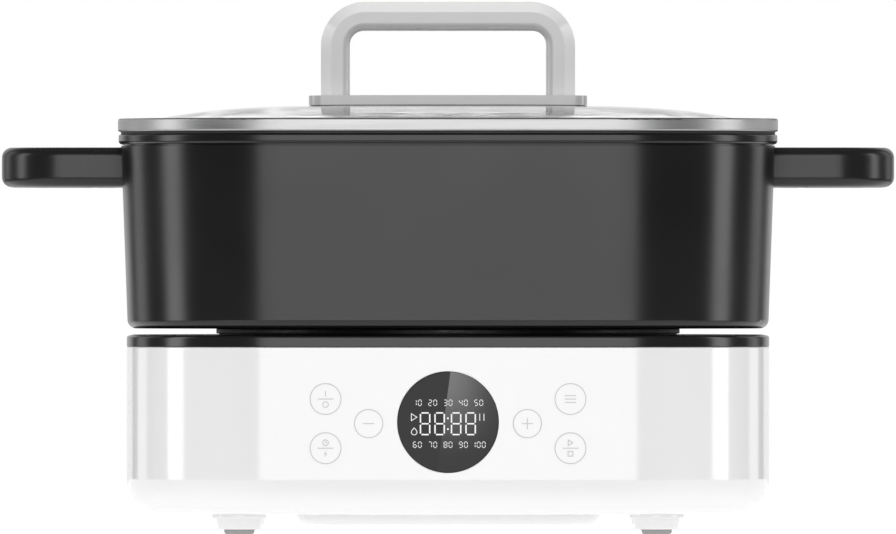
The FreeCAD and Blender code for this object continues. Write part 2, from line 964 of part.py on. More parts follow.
def heating_element():
    start = Part.makeCircle(element_radius, Vector(element_loop_radius, 0, hub_bottom), Vector(0, 1, 0))
    face = Part.Face(Part.Wire(start))
    face.rotate(Vector(0, 0, 0), Vector(0, 0, 1), 90 + element_gap_degrees / 2)
    loop = face.revolve(Vector(0, 0, 0), Vector(0, 0, 1), 360 - element_gap_degrees)
    pieces = [loop]
    for x, y in terminal_places():
        pieces.append(Part.makeSphere(element_radius, Vector(x, y, hub_bottom)))
        pieces.append(upright_cylinder(terminal_radius, hub_bottom - terminal_length, hub_bottom, x, y))
    return joined(pieces)


def heat_shield():
    bore = guide_outer_radius() + shield_bore_clearance
    inner_bottom = shield_bottom + shield_sheet
    flange_bottom = housing_top - shield_sheet
    shield = turned([
        (bore, shield_bottom, 0),
        (shield_radius + shield_sheet, shield_bottom, shield_bend_radius + shield_sheet),
        (shield_radius + shield_sheet, flange_bottom, shield_flange_bend),
        (shield_flange_radius, flange_bottom, 0),
        (shield_flange_radius, housing_top, 0),
        (shield_radius, housing_top, shield_flange_bend + shield_sheet),
        (shield_radius, inner_bottom, shield_bend_radius),
        (bore, inner_bottom, 0),
    ])
    for x, y in stud_places():
        shield = shield.cut(upright_cylinder(stud_radius + screw_hole_clearance, 0, everywhere, x, y))
    for x, y in terminal_places():
        hole_radius = terminal_radius + terminal_hole_clearance
        shield = shield.cut(upright_cylinder(hole_radius, 0, everywhere, x, y))
    return shield


def heat_shield_nuts():
    nuts = []
    corner_radius = nut_flats / math.sqrt(3)
    for x, y in stud_places():
        outline = []
        for i in range(6):
            angle = math.radians(60 * i)
            outline.append((corner_radius * math.cos(angle), corner_radius * math.sin(angle), 0))
        nut = plan_prism(outline, shield_bottom - nut_height, shield_bottom)
        nut.translate(Vector(x, y, 0))
        nuts.append(nut.cut(upright_cylinder(stud_radius + thread_clearance, 0, everywhere, x, y)))
    return Part.makeCompound(nuts)


def thermal_fuse():
    height = hub_bottom - fuse_clip_sheet - fuse_radius
    start = Vector(-fuse_length / 2, -fuse_from_middle, height)
    return Part.makeCylinder(fuse_radius, fuse_length, start, Vector(1, 0, 0))


def thermal_fuse_clip():
    """A strap under the hub that wraps the fuse and spreads into two welded feet."""
    radius = fuse_radius + thread_clearance
    outer = radius + fuse_clip_sheet
    middle = hub_bottom - fuse_clip_sheet - fuse_radius
    left = -fuse_clip_width / 2
    half_span = fuse_clip_span / 2
    feet = box(left, -left, -half_span, half_span, hub_bottom - fuse_clip_sheet, hub_bottom)
    outline = [
        (-outer, hub_bottom, 0),
        (-outer, middle - outer, outer * 0.9),
        (outer, middle - outer, outer * 0.9),
        (outer, hub_bottom, 0),
    ]
    cradle = side_prism(outline, left, -left)
    strap = joined([feet, cradle])
    room_start = Vector(4 * left, 0, middle)
    room = Part.makeCylinder(radius, -8 * left, room_start, Vector(1, 0, 0))
    return strap.cut(room).translated(Vector(0, -fuse_from_middle, 0))


# Temperature sensor

def guide_bottom():
    return shield_bottom + shield_sheet


def guide_inner_floor():
    return guide_bottom() + guide_floor


def sensor_guide():
    outer = guide_outer_radius()
    upper_bore = sensor_radius + sensor_running_clearance
    lower_bore = sensor_flange_radius + sensor_running_clearance
    lower_outer = lower_bore + guide_wall
    top = heating_top - guide_top_recess
    return turned([
        (guide_hole_radius, guide_bottom(), small_round),
        (lower_outer, guide_bottom(), small_round),
        (lower_outer, hub_bottom - guide_flange_thickness, 0),
        (guide_flange_radius, hub_bottom - guide_flange_thickness, fine_round),
        (guide_flange_radius, hub_bottom, 0),
        (outer, hub_bottom, 0),
        (outer, top, fine_round),
        (upper_bore, top, fine_round),
        (upper_bore, hub_bottom, 0),
        (lower_bore, hub_bottom, 0),
        (lower_bore, guide_inner_floor(), 0),
        (guide_hole_radius, guide_inner_floor(), 0),
    ])


def sensor_inner_top():
    return heating_top - sensor_top_thickness


def temperature_sensor():
    flange_bottom = hub_bottom - sensor_flange_thickness
    inner = sensor_radius - sensor_wall
    return turned([
        (inner, flange_bottom, fine_round),
        (sensor_flange_radius, flange_bottom, small_round),
        (sensor_flange_radius, hub_bottom, 0),
        (sensor_radius, hub_bottom, 0),
        (sensor_radius, heating_top, sensor_edge_radius),
        (0, heating_top, 0),
        (0, sensor_inner_top(), 0),
        (inner, sensor_inner_top(), small_round),
    ])


def sensor_thermistor():
    low = sensor_inner_top() - thermistor_length
    return turned([
        (0, low, 0),
        (thermistor_radius, low, thermistor_radius * 0.8),
        (thermistor_radius, sensor_inner_top(), 0),
        (0, sensor_inner_top(), 0),
    ])


def sensor_spring():
    low = guide_inner_floor()
    high = sensor_inner_top()
    return coil(sensor_coil_radius, sensor_wire_radius, low, high, sensor_coil_turns)


# Base shells

def screw_post(x, y):
    """A hollow post on the housing floor, with the shoulder that the screw head pulls against."""
    return upright_cylinder(post_radius, housing_bottom + overshoot, post_top, x, y)


def post_seat():
    return post_top - post_shoulder


def foot_places():
    return four_corners(foot_from_middle, foot_from_middle)


def cover_screw_places():
    return four_corners(cover_screw_from_middle, cover_screw_from_middle)


def control_boss_places():
    places = []
    for x in (-control_boss_x, control_boss_x):
        for z in (-control_boss_z, control_boss_z):
            places.append((x, panel_height + z))
    return places


def housing_shell():
    inner_half = base_half - housing_wall
    return square_solid([
        (corner_core_half, housing_bottom, 0),
        (base_half, housing_bottom, housing_bottom_radius),
        (base_half, housing_top, housing_top_radius),
        (inner_half, housing_top, 0),
        (inner_half, housing_floor_top, housing_bottom_radius - housing_wall),
        (corner_core_half, housing_floor_top, 0),
    ])


def base_housing():
    shell = housing_shell()
    additions = [screw_post(x, y) for x, y in four_corners(post_x, post_y)]
    boss_top = housing_floor_top + boss_height
    for x, y in foot_places() + cover_screw_places():
        additions.append(upright_cylinder(boss_radius, housing_bottom + overshoot, boss_top, x, y))
    for x, z in control_boss_places():
        additions.append(deep_cylinder(control_boss_radius, front_inner - overshoot, board_front, x, z))
    shell = joined([shell] + additions)
    opening = rectangle(housing_opening_half, housing_opening_half, housing_opening_radius)
    shell = shell.cut(plan_prism(opening, housing_bottom - overshoot, housing_floor_top + overshoot))
    access_radius = screw_head_radius(case_screw_radius) + screw_head_clearance
    shank_radius = case_screw_radius + screw_hole_clearance
    for x, y in four_corners(post_x, post_y):
        shell = shell.cut(upright_cylinder(access_radius, housing_bottom - overshoot, post_seat(), x, y))
        shell = shell.cut(upright_cylinder(shank_radius, 0, post_top + overshoot, x, y))
    thread_radius = case_screw_radius + thread_clearance
    hole_top = boss_top - boss_end_thickness
    for x, y in foot_places() + cover_screw_places():
        shell = shell.cut(upright_cylinder(thread_radius, housing_bottom - overshoot, hole_top, x, y))
    hole_radius = board_screw_radius + thread_clearance
    hole_front = board_front - board_screw_length
    for x, z in control_boss_places():
        shell = shell.cut(deep_cylinder(hole_radius, hole_front, board_front + overshoot, x, z))
    start = front_face - overshoot
    window_back = front_face + window_thickness
    pocket = deep_cylinder(window_radius + window_clearance, start, window_back, 0, panel_height)
    ledge_radius = window_radius - window_ledge
    ledge_hole = deep_cylinder(ledge_radius, start, front_inner + overshoot, 0, panel_height)
    shell = shell.cut(pocket).cut(ledge_hole).cut(inlet_cut_out())
    return shell.cut(inlet_screw_holes(base_half - housing_wall - overshoot, thread_clearance))


def inlet_outline(width, height, radius):
    half = width / 2
    low = inlet_height - height / 2
    high = inlet_height + height / 2
    return [(-half, low, radius), (half, low, radius), (half, high, radius), (-half, high, radius)]


def inlet_cut_out():
    outline = inlet_outline(
        inlet_width + 2 * inlet_clearance,
        inlet_body_height + 2 * inlet_clearance,
        inlet_corner_radius,
    )
    return front_prism(outline, base_half - housing_wall - overshoot, base_half + overshoot)


def inlet_screw_holes(front, clearance):
    back = base_half + inlet_flange_thickness + overshoot
    radius = board_screw_radius + clearance
    return Part.makeCompound([
        deep_cylinder(radius, front, back, x, inlet_height)
        for x in (-inlet_screw_from_middle, inlet_screw_from_middle)
    ])


def base_top_plate():
    skirt_half = base_half - housing_wall - shell_clearance
    skirt_bottom = housing_top - top_plate_skirt_depth
    plate = square_solid([
        (corner_core_half, housing_top, 0),
        (skirt_half - top_plate_skirt, housing_top, 0),
        (skirt_half - top_plate_skirt, skirt_bottom, 0),
        (skirt_half, skirt_bottom, small_round),
        (skirt_half, housing_top, 0),
        (base_half, housing_top, fine_round),
        (base_half, top_plate_top, top_plate_edge_radius),
        (corner_core_half, top_plate_top, 0),
    ])
    pieces = [plate]
    for x, y in four_corners(post_x, post_y):
        pieces.append(upright_cylinder(plate_boss_radius, post_top, housing_top + overshoot, x, y))
    plate = joined(pieces)
    hole_bottom = housing_top - overshoot
    plate = plate.cut(upright_cylinder(heating_hole_radius, hole_bottom, top_plate_top + overshoot))
    thread_radius = case_screw_radius + thread_clearance
    thread_top = post_seat() + plate_screw_length + screw_tip_room
    for x, y in four_corners(post_x, post_y):
        plate = plate.cut(upright_cylinder(thread_radius, 0, thread_top, x, y))
    return plate


def top_plate_screws():
    one = screw(case_screw_radius, plate_screw_length)
    return placed(one, [(x, y, post_seat()) for x, y in four_corners(post_x, post_y)])


def base_bottom_cover():
    core = cover_half - cover_corner_radius
    inner_bottom = cover_bottom + cover_wall
    cover = square_solid([
        (core, cover_bottom, 0),
        (cover_half, cover_bottom, cover_edge_radius),
        (cover_half, housing_bottom, small_round),
        (cover_half - cover_wall, housing_bottom, 0),
        (cover_half - cover_wall, inner_bottom, cover_edge_radius - cover_wall),
        (core, inner_bottom, 0),
    ], core)
    pieces = [cover]
    for x, y in cover_screw_places():
        pieces.append(upright_cylinder(boss_radius, cover_bottom + overshoot, housing_bottom, x, y))
    for x, y in four_corners(standoff_x, standoff_y):
        pieces.append(upright_cylinder(standoff_radius, cover_bottom + overshoot, power_board_bottom, x, y))
    cover = joined(pieces)
    head_radius = screw_head_radius(case_screw_radius) + screw_head_clearance
    shank_radius = case_screw_radius + screw_hole_clearance
    for x, y in cover_screw_places():
        cover = cover.cut(upright_cylinder(head_radius, cover_bottom - overshoot, inner_bottom, x, y))
        cover = cover.cut(upright_cylinder(shank_radius, 0, housing_bottom + overshoot, x, y))
    thread_radius = board_screw_radius + thread_clearance
    thread_bottom = power_board_bottom - board_screw_length
    for x, y in four_corners(standoff_x, standoff_y):
        hole = upright_cylinder(thread_radius, thread_bottom, power_board_bottom + overshoot, x, y)
        cover = cover.cut(hole)
    for i in range(vent_slot_count):
        x = (i - (vent_slot_count - 1) / 2) * vent_slot_pitch
        slot = plan_prism(
            rectangle(vent_slot_width / 2, vent_slot_length / 2, vent_slot_width * 0.45),
            cover_bottom - overshoot,
            inner_bottom + overshoot,
        )
        cover = cover.cut(slot.translated(Vector(x, 0, 0)))
    return cover


def bottom_cover_screws():
    one = screw(case_screw_radius, cover_screw_length)
    seat = cover_bottom + cover_wall
    return placed(one, [(x, y, seat) for x, y in cover_screw_places()])


# Feet

def foot_screw_seat():
    return foot_bottom + pad_plug_height + pad_plug_gap + screw_head_height(case_screw_radius)


def foot(x, y):
    flange_bottom = housing_bottom - foot_flange_height
    bore = case_screw_radius + screw_hole_clearance
    well = screw_head_radius(case_screw_radius) + screw_head_clearance
    return turned([
        (bore, foot_screw_seat(), 0),
        (well, foot_screw_seat(), 0),
        (well, foot_bottom, 0),
        (foot_tip_radius, foot_bottom, foot_tip_round),
        (foot_top_radius, flange_bottom, 0),
        (foot_flange_radius, flange_bottom, foot_flange_round),
        (foot_flange_radius, housing_bottom, small_round),
        (bore, housing_bottom, 0),
    ], x, y)


def foot_pad(x, y):
    plug = screw_head_radius(case_screw_radius) + screw_head_clearance / 2
    return turned([
        (0, 0, 0),
        (pad_radius, 0, pad_edge_radius),
        (pad_radius, foot_bottom, 0),
        (plug, foot_bottom, 0),
        (plug, foot_bottom + pad_plug_height, 0),
        (0, foot_bottom + pad_plug_height, 0),
    ], x, y)


def foot_screws():
    one = screw(case_screw_radius, foot_screw_length)
    return placed(one, [(x, y, foot_screw_seat()) for x, y in foot_places()])


# Display and touch keys

def display_window():
    disc = deep_cylinder(window_radius, front_face, front_face + window_thickness, 0, panel_height)
    front_edges = edges_at_depth(disc, front_face)
    return disc.makeFillet(fine_round, front_edges[:1])


def display_outline(extra):
    half = display_width / 2 + extra
    low = panel_height - display_height / 2 - extra
    high = panel_height + display_height / 2 + extra
    return [(-half, low, 0), (half, low, 0), (half, high, 0), (-half, high, 0)]


def display_frame():
    flange = deep_cylinder(
        display_flange_radius, front_inner, front_inner + display_flange_thickness, 0, panel_height
    )
    sleeve = front_prism(display_outline(display_clearance + display_frame_wall), front_inner, board_front)
    start = front_inner - overshoot
    room = front_prism(display_outline(display_clearance), start, board_front + overshoot)
    return joined([flange, sleeve]).cut(room)


def display_module():
    """The light block, with one shallow well for each of its four digits."""
    front = board_front - display_depth
    block = front_prism(display_outline(0), front, board_front)
    for middle in digit_middles:
        well = box(
            middle - digit_width / 2,
            middle + digit_width / 2,
            front - overshoot,
            front + digit_well_depth,
            panel_height - digit_height / 2,
            panel_height + digit_height / 2,
        )
        block = block.cut(well)
    return block


def control_board():
    outline = [
        (x, panel_height + z, radius)
        for x, z, radius in rectangle(control_board_width / 2, control_board_height / 2, board_corner_radius)
    ]
    board = front_prism(outline, board_front, board_back)
    header = box(
        -header_width / 2,
        header_width / 2,
        board_back,
        board_back + header_size,
        panel_height - header_size / 2,
        panel_height + header_size / 2,
    )
    board = joined([board, header])
    hole_radius = board_screw_radius + screw_hole_clearance
    for x, z in control_boss_places():
        hole = deep_cylinder(hole_radius, board_front - overshoot, board_back + overshoot, x, z)
        board = board.cut(hole)
    return board


def touch_key_places():
    places = []
    for side in (-1, 1):
        places.append((side * touch_inner_x, panel_height + touch_inner_z))
        for up in (-1, 1):
            places.append((side * touch_outer_x, panel_height + up * touch_outer_z))
    return places


def touch_springs():
    one = coil(touch_coil_radius, touch_wire_radius, 0, board_gap, touch_coil_turns)
    one.rotate(Vector(0, 0, 0), Vector(1, 0, 0), -90)
    return placed(one, [(x, front_inner, z) for x, z in touch_key_places()])


def board_screws():
    one = screw(board_screw_radius, board_screw_length + board_thickness - board_screw_tip_room)
    facing_front = one.rotated(Vector(0, 0, 0), Vector(1, 0, 0), 90)
    facing_down = one.rotated(Vector(0, 0, 0), Vector(1, 0, 0), 180)
    screws = [facing_front.translated(Vector(x, board_back, z)) for x, z in control_boss_places()]
    for x, y in four_corners(standoff_x, standoff_y):
        screws.append(facing_down.translated(Vector(x, y, power_board_top)))
    return Part.makeCompound(screws)


def display_ribbon():
    """The flat cable from the back of the control board down to the front of the power board."""
    start = board_back + header_size
    end = -power_board_depth / 2 + header_size
    low = power_board_top + header_size / 2
    half = ribbon_thickness / 2
    over = start + ribbon_reach
    outline = [
        (start, panel_height - half, 0),
        (over - half, panel_height - half, ribbon_bend - half),
        (over - half, low - half, ribbon_bend + half),
        (end - header_size, low - half, 0),
        (end - header_size, low + half, 0),
        (over + half, low + half, ribbon_bend - half),
        (over + half, panel_height + half, ribbon_bend + half),
        (start, panel_height + half, 0),
    ]
    return side_prism(outline, -ribbon_width / 2, ribbon_width / 2)


# Power board

def power_board():
    outline = rectangle(power_board_width / 2, power_board_depth / 2, board_corner_radius)
    board = plan_prism(outline, power_board_bottom, power_board_top)
    front = -power_board_depth / 2
    header_top = power_board_top + header_size
    header = box(-header_width / 2, header_width / 2, front, front + header_size, power_board_top, header_top)
    board = joined([board, header])
    for x, y in four_corners(standoff_x, standoff_y):
        board = board.cut(upright_cylinder(board_screw_radius + screw_hole_clearance, 0, everywhere, x, y))
    return board


def on_power_board(width, depth, height, x, y, radius):
    block = plan_prism(rectangle(width / 2, depth / 2, radius), power_board_top, power_board_top + height)
    return block.translated(Vector(x, y, 0))


def transformer():
    core = on_power_board(
        transformer_core_width,
        transformer_core_depth,
        transformer_core_height,
        transformer_x,
        transformer_y,
        small_round,
    )
    winding = on_power_board(
        winding_width, winding_depth, winding_height, transformer_x, transformer_y, winding_round
    )
    return joined([core, winding.translated(Vector(0, 0, winding_rise))])


def relay():
    return on_power_board(relay_width, relay_depth, relay_height, relay_x, relay_y, relay_round)


def capacitor():
    return on_power_board(
        capacitor_width, capacitor_depth, capacitor_height, capacitor_x, capacitor_y, capacitor_round
    )


def terminal_block_back():
    return power_board_depth / 2 - terminal_block_from_edge


def terminal_block():
    back = terminal_block_back()
    front = back - terminal_block_depth
    half = terminal_block_width / 2
    block = box(-half, half, front, back, power_board_top, terminal_block_top)
    hole_bottom = terminal_block_top - terminal_hole_depth
    hole_y = front + terminal_hole_from_front
    for i in range(terminal_count):
        x = (i - (terminal_count - 1) / 2) * terminal_pitch
        hole = upright_cylinder(terminal_hole_radius, hole_bottom, terminal_block_top + overshoot, x, hole_y)
        block = block.cut(hole)
    return block


# Mains inlet and leads

def power_inlet():
    flange_back = base_half + inlet_flange_thickness
    flange_outline = inlet_outline(inlet_flange_width, inlet_flange_height, inlet_corner_radius)
    flange = front_prism(flange_outline, base_half, flange_back)
    body_front = flange_back - inlet_depth
    body_outline = inlet_outline(inlet_width, inlet_body_height, inlet_corner_radius)
    body = front_prism(body_outline, body_front, flange_back)
    inlet = joined([flange, body])
    half = inlet_socket_width / 2
    low = inlet_height - inlet_socket_height / 2
    high = inlet_height + inlet_socket_height / 2
    bevel = inlet_socket_bevel
    socket = front_prism([
        (-half, low, inlet_socket_round),
        (half, low, inlet_socket_round),
        (half, high - bevel, inlet_socket_round),
        (half - bevel, high, inlet_socket_round),
        (bevel - half, high, inlet_socket_round),
        (-half, high - bevel, inlet_socket_round),
    ], flange_back - inlet_socket_depth, flange_back + overshoot)
    inlet = inlet.cut(socket).cut(inlet_screw_holes(base_half - overshoot, screw_hole_clearance))
    for x, z in pin_places():
        room_start = body_front - overshoot
        room_end = flange_back - inlet_socket_depth + overshoot
        inlet = inlet.cut(pin_bar(x, z, room_start, room_end, pin_clearance))
    return inlet


def pin_places():
    return [
        (-pin_spacing, inlet_height - pin_offset_z),
        (0.0, inlet_height + pin_offset_z),
        (pin_spacing, inlet_height - pin_offset_z),
    ]


def pin_bar(x, z, front, back, clearance):
    """A pin's bar, or with a clearance, the room that it needs."""
    half_width = pin_width / 2 + clearance
    half_height = pin_height / 2 + clearance
    return box(x - half_width, x + half_width, front, back, z - half_height, z + half_height)


def pin_tail_end():
    return base_half + inlet_flange_thickness - inlet_depth - pin_tail


def inlet_pins():
    back = base_half + inlet_flange_thickness - inlet_socket_depth + pin_reach
    pins = []
    for x, z in pin_places():
        pin = pin_bar(x, z, pin_tail_end(), back, 0)
        pins.append(pin.makeChamfer(pin_bevel, edges_at_depth(pin, back)))
    return Part.makeCompound(pins)


def inlet_screws():
    one = screw(board_screw_radius, inlet_screw_length)
    facing_front = one.rotated(Vector(0, 0, 0), Vector(1, 0, 0), 90)
    back = base_half + inlet_flange_thickness
    sides = (-inlet_screw_from_middle, inlet_screw_from_middle)
    return placed(facing_front, [(x, back, inlet_height) for x in sides])


def mains_leads():
    """Three leads from the inlet to the terminal block, and two from the block to the element."""
    leads = []
    block_back = terminal_block_back()
    entry = power_board_top + terminal_block_height / 2
    start = pin_tail_end()
    for x, z in pin_places():
        leads.append(lead([
            (x, start, z),
            (x, start - inlet_lead_straight, z),
            (x, block_back + block_lead_straight, entry),
            (x, block_back, entry),
        ], lead_radius))
    bottom = hub_bottom - terminal_length
    for x, y in terminal_places():
        end_x = math.copysign(terminal_pitch * (terminal_count - 1) / 2, x)
        end_y = block_back - terminal_block_depth / 2
        leads.append(lead([
            (x, y, bottom),
            (x, y, bottom - element_lead_straight),
            (end_x, end_y, terminal_block_top + terminal_lead_straight),
            (end_x, end_y, terminal_block_top),
        ], lead_radius))
    return Part.makeCompound(leads)


def sensor_leads():
    """The pair from the thermistor, out through the guide's floor and down to the power board."""
    top = sensor_inner_top() - thermistor_length
    pair = []
    for side in (-1, 1):
        x = side * (sensor_lead_radius + sensor_lead_gap / 2)
        pair.append(lead([
            (x, 0, top),
            (x, 0, guide_bottom() - sensor_lead_drop),
            (x, -sensor_lead_landing, power_board_top + sensor_lead_straight),
            (x, -sensor_lead_landing, power_board_top),
        ], sensor_lead_radius))
    return Part.makeCompound(pair)


nodes = {
    "lid_glass": lid_glass,
    "lid_rim": lid_rim,
    "lid_rim_seal": lid_rim_seal,
    "lid_handle": lid_handle,
    "lid_handle_base": lid_handle_base,
    "lid_handle_gasket": lid_handle_gasket,
    "lid_handle_retainers": lid_handle_retainers,
    "lid_handle_screws": lid_handle_screws,
    "lid_vent_eyelet": lid_vent_eyelet,
    "pot_body": pot_body,
    "pot_handle_right": pot_handle_right,
    "pot_handle_left": lambda: mirrored_left(pot_handle_right()),
    "pot_handle_bracket_right": pot_handle_bracket_right,
    "pot_handle_bracket_left": lambda: mirrored_left(pot_handle_bracket_right()),
    "pot_handle_screws": pot_handle_screws,
    "heating_plate": heating_plate,
    "heating_plate_seal": heating_plate_seal,
    "heating_element": heating_element,
    "heat_shield": heat_shield,
    "heat_shield_nuts": heat_shield_nuts,
    "thermal_fuse": thermal_fuse,
    "thermal_fuse_clip": thermal_fuse_clip,
    "sensor_guide": sensor_guide,
    "sensor_spring": sensor_spring,
    "temperature_sensor": temperature_sensor,
    "sensor_thermistor": sensor_thermistor,
    "base_housing": base_housing,
    "base_top_plate": base_top_plate,
    "top_plate_screws": top_plate_screws,
    "base_bottom_cover": base_bottom_cover,
    "bottom_cover_screws": bottom_cover_screws,
    "foot_screws": foot_screws,
    "display_window": display_window,
    "display_frame": display_frame,
    "display_module": display_module,
    "control_board": control_board,
    "touch_springs": touch_springs,
    "board_screws": board_screws,
    "display_ribbon": display_ribbon,
    "power_board": power_board,
    "transformer": transformer,
    "relay": relay,
    "capacitor": capacitor,
    "terminal_block": terminal_block,
    "power_inlet": power_inlet,
    "inlet_pins": inlet_pins,
    "inlet_screws": inlet_screws,
    "mains_leads": mains_leads,
    "sensor_leads": sensor_leads,
}

os.makedirs("parts", exist_ok=True)
for name, make in nodes.items():
    make().exportStep("parts/" + name + ".step")
corner_names = ("rear_right", "rear_left", "front_left", "front_right")
for name, (x, y) in zip(corner_names, foot_places()):
    foot(x, y).exportStep("parts/foot_" + name + ".step")
    foot_pad(x, y).exportStep("parts/foot_pad_" + name + ".step")
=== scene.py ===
"""Looks of the electric hot pot: materials, printed marks, floor, lights and camera."""

import math

import bmesh
import bpy
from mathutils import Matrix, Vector


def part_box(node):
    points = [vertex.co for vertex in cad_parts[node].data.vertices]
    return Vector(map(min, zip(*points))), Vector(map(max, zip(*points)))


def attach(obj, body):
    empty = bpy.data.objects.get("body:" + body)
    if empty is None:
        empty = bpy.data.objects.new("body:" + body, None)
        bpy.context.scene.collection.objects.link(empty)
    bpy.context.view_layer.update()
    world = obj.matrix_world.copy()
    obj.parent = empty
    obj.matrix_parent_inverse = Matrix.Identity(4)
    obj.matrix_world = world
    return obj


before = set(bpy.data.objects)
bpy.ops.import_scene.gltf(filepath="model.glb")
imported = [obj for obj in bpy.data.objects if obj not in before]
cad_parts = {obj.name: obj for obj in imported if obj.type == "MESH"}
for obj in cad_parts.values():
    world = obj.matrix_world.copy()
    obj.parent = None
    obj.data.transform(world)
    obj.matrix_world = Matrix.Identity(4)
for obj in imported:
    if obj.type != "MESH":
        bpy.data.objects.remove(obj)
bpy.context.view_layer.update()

mm = 0.001

# Places on the object, read from the frame
window_low, window_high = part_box("display_window")
window_x = (window_low.x + window_high.x) / 2
window_z = (window_low.z + window_high.z) / 2
front_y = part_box("base_housing")[0].y

# Prints and lit marks are thin plates that start just inside the front surface
print_sink = 0.01 * mm
print_thickness = 0.04 * mm

# The least cosine of half a corner's turn that is used, so that a sharp corner's tip doesn't grow long
least_turn_cosine = 0.4

# Printed touch keys on the front
key_middle_z = 49.95 * mm
outer_key_x = 54.3 * mm
outer_key_rise = 10.9 * mm
outer_key_radius = 6.85 * mm
inner_key_x = 35.2 * mm
inner_key_radius = 6.27 * mm
key_line = 0.42 * mm
clock_hand_line = key_line * 0.7
flash_line = key_line * 0.8
key_divider = 7.0 * mm
wide_sign = 5.0 * mm
small_sign = 2.5 * mm
small_sign_rise = 2.45 * mm
small_square = small_sign * 0.84
minute_hand = small_sign * 0.32
hour_hand = small_sign * 0.28
menu_line_step = 1.5 * mm
key_ring_steps = 72
small_ring_steps = 32

# Shapes of the signs, as shares of their size
play_narrowing = 0.8
pause_spread = 0.3
drop_radius = 0.4
drop_lowering = 0.1
drop_start_degrees = 140
drop_end_degrees = 400
drop_steps = 24
flash_corners = ((0.14, 0.5), (-0.22, -0.06), (0.18, 0.02), (-0.14, -0.5))

# Lit digits on the display window, from its middle
digit_places = (-10.15 * mm, -3.7 * mm, 3.6 * mm, 10.05 * mm)
digit_middle = -0.7 * mm
digit_width = 4.1 * mm
digit_height = 9.6 * mm
digit_line = 0.62 * mm
colon_place = -0.05 * mm
colon_rise = 2.4 * mm
colon_dot = digit_line * 1.2
bar_gap_share = 0.75

# Lit small numbers above and below the digits
upper_numbers = ("10", "20", "30", "40", "50")
lower_numbers = ("60", "70", "80", "90", "100")
upper_numbers_z = 8.6 * mm
lower_numbers_z = -10.0 * mm
number_row_reach = 13.6 * mm
small_number_height = 2.5 * mm
small_number_width = 1.35 * mm
small_number_line = 0.3 * mm
small_number_gap = 0.9 * mm

# Lit signs beside the digits
side_sign_place = 15.0 * mm
side_sign_size = 3.1 * mm
side_sign_line = 0.32 * mm
upper_sign_z = 2.2 * mm
lower_sign_z = -4.1 * mm

# The painted reflection over the window's right part, lighter than the window: its slanting edge, from the
# window's middle, and its fading
painted_reflection_top = (1.1 * mm, 22.2 * mm)
painted_reflection_bottom = (-4.6 * mm, -20.0 * mm)
painted_reflection_blur = 0.15 * mm
painted_reflection_fade_width = 23.0 * mm
painted_reflection_fade_low = -17.0 * mm
painted_reflection_fade_high = 20.0 * mm
painted_reflection_share_right = 0.12
painted_reflection_share_low = 0.03

# Grain: noise values that count as none and full, and grains in a metre
noise_low = 0.3
noise_high = 0.7
cloud_grains = 22.0
floor_grains = 3.0
glass_grains = 30.0
window_grains = 60.0
ink_grains = 700.0

# Surfaces: a spread is the share by which noise raises and lowers a value, and a pair is its ends
plastic_gloss_spread = 0.08
metal_gloss_spread = 0.2
coat_roughness = 0.1
glass_ior = 1.5
window_roughness = (0.03, 0.07)
window_specular = 0.2
ink_shades = (0.94, 1.04)
ink_roughness = (0.4, 0.55)
floor_greys = (0.26, 0.28)
floor_roughness = (0.85, 0.95)

# Floor and soft boxes: lengths are in metres, and a brightness of 1 is paper white
near_floor_half = 0.5
far_floor_half = 2.5
floor_glow = 0.84
box_middle_z = 0.75
box_height = 2.2
side_box_degrees = 83.0
side_rear_box_degrees = 124.0
side_box_distance = 2.6
side_box_width = 0.7
white_sky = 1.0
sky_in_gloss = 0.14
sky_fill = 0.12

# Camera: square on to the front, far away, so that it draws the front as a flat view
photo_width = 401.4 * mm
focus_y = -40.0 * mm
camera_height = 119.4 * mm
sensor_width = 36.0
lens = 900.0


def grey(level):
    return (level, level, level)


def evenly(count):
    """The same count of grains along each axis."""
    return (count, count, count)


def new_surface(name):
    """A new material with its node tree and its principled shader."""
    made = bpy.data.materials.new(name)
    made.use_nodes = True
    return made, made.node_tree, made.node_tree.nodes["Principled BSDF"]


def plug(tree, value, socket):
    """Links another node's output to a socket, or sets the socket to a number or a colour."""
    if isinstance(value, bpy.types.NodeSocket):
        tree.links.new(value, socket)
    elif isinstance(value, tuple):
        socket.default_value = (*value, 1.0)
    else:
        socket.default_value = value


def grain(tree, per_metre, detail=4.0):
    """Noise fixed to the piece; per_metre is how many grains fit in a metre along each axis."""
    place = tree.nodes.new("ShaderNodeTexCoord")
    stretch = tree.nodes.new("ShaderNodeMapping")
    stretch.inputs["Scale"].default_value = per_metre
    noise = tree.nodes.new("ShaderNodeTexNoise")
    noise.inputs["Scale"].default_value = 1.0
    noise.inputs["Detail"].default_value = detail
    tree.links.new(place.outputs["Object"], stretch.inputs["Vector"])
    tree.links.new(stretch.outputs["Vector"], noise.inputs["Vector"])
    return noise.outputs["Fac"]


def ramp(tree, value, start, end, low, high, kind="LINEAR"):
    """A value that goes from low to high while another goes from start to end."""
    node = tree.nodes.new("ShaderNodeMapRange")
    node.interpolation_type = kind
    for name, number in (("From Min", start), ("From Max", end), ("To Min", low), ("To Max", high)):
        node.inputs[name].default_value = number
    tree.links.new(value, node.inputs["Value"])
    return node.outputs["Result"]


def between(tree, noise, low, high):
    """Noise turned into a value from low to high."""
    return ramp(tree, noise, noise_low, noise_high, low, high)


def mixed(tree, factor, first, second):
    """A colour from first to second; each is a colour or another node's output."""
    mix = tree.nodes.new("ShaderNodeMix")
    mix.data_type = "RGBA"
    plug(tree, factor, mix.inputs["Factor"])
    plug(tree, first, mix.inputs["A"])
    plug(tree, second, mix.inputs["B"])
    return mix.outputs["Result"]


def calculated(tree, operation, *values):
    """The result of a sum or product; each value is a number or another node's output."""
    node = tree.nodes.new("ShaderNodeMath")
    node.operation = operation
    for index, value in enumerate(values):
        plug(tree, value, node.inputs[index])
    return node.outputs["Value"]


